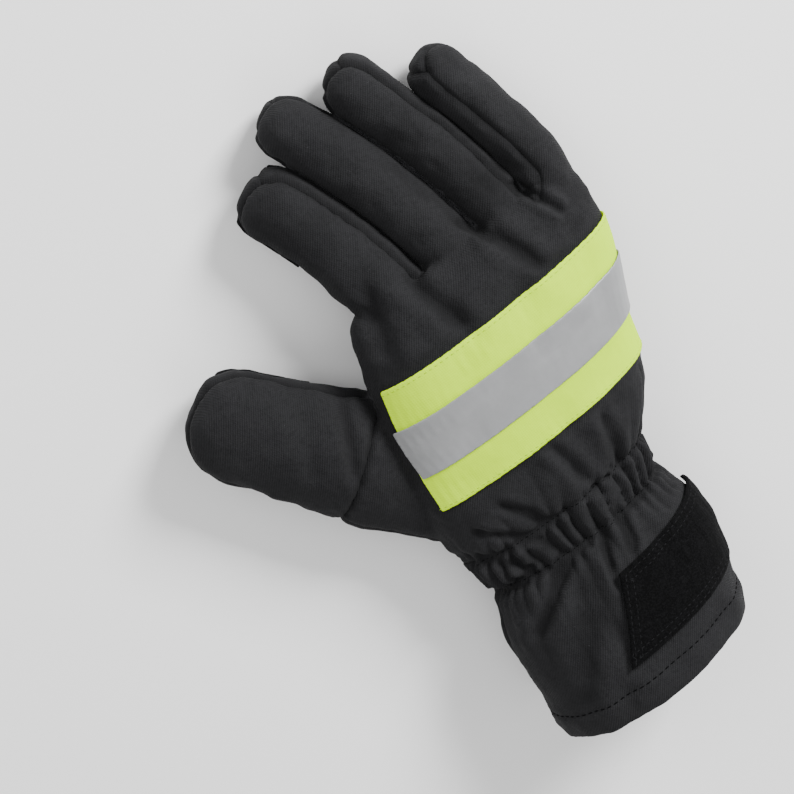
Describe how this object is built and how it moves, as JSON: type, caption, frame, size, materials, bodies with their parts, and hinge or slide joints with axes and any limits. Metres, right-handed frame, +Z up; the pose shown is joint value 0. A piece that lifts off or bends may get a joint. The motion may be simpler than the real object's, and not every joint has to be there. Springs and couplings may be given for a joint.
{
  "type": "firefighter glove",
  "caption": "Right-hand firefighter glove of thick dark twill with a gathered wrist, a short gauntlet cuff, a reflective tape across the back and suede palm patches",
  "frame": {"origin": "the middle of the flat underside of the palm patch, on which the glove lies", "axes": "+Y to the fingertips, +X to the little finger's side, +Z up, out of the back of the hand"},
  "size_m": [0.1788, 0.2679, 0.0627],
  "materials": {
    "back_panel": "matte twill, charcoal",
    "palm_panel": "matte twill, charcoal",
    "sidewall_index_middle": "matte twill, charcoal",
    "sidewall_middle_ring": "matte twill, charcoal",
    "sidewall_ring_little": "matte twill, charcoal",
    "thumb_back": "matte twill, charcoal",
    "thumb_palm": "matte twill, charcoal",
    "hi_vis_tape": "fluorescent yellow woven tape",
    "reflective_strip": "silver retroreflective tape",
    "loop_patch": "black loop fabric",
    "palm_patch": "black suede",
    "index_grip_patch": "black suede",
    "thumb_grip_patch": "black suede"
  },
  "bodies": {
    "root": {"back_panel": "back_panel", "palm_panel": "palm_panel", "sidewall_index_middle": "sidewall_index_middle", "sidewall_middle_ring": "sidewall_middle_ring", "sidewall_ring_little": "sidewall_ring_little", "thumb_back": "thumb_back", "thumb_palm": "thumb_palm", "hi_vis_tape": "hi_vis_tape", "reflective_strip": "reflective_strip", "loop_patch": "loop_patch", "palm_patch": "palm_patch", "index_grip_patch": "index_grip_patch", "thumb_grip_patch": "thumb_grip_patch"}
  },
  "joints": []
}
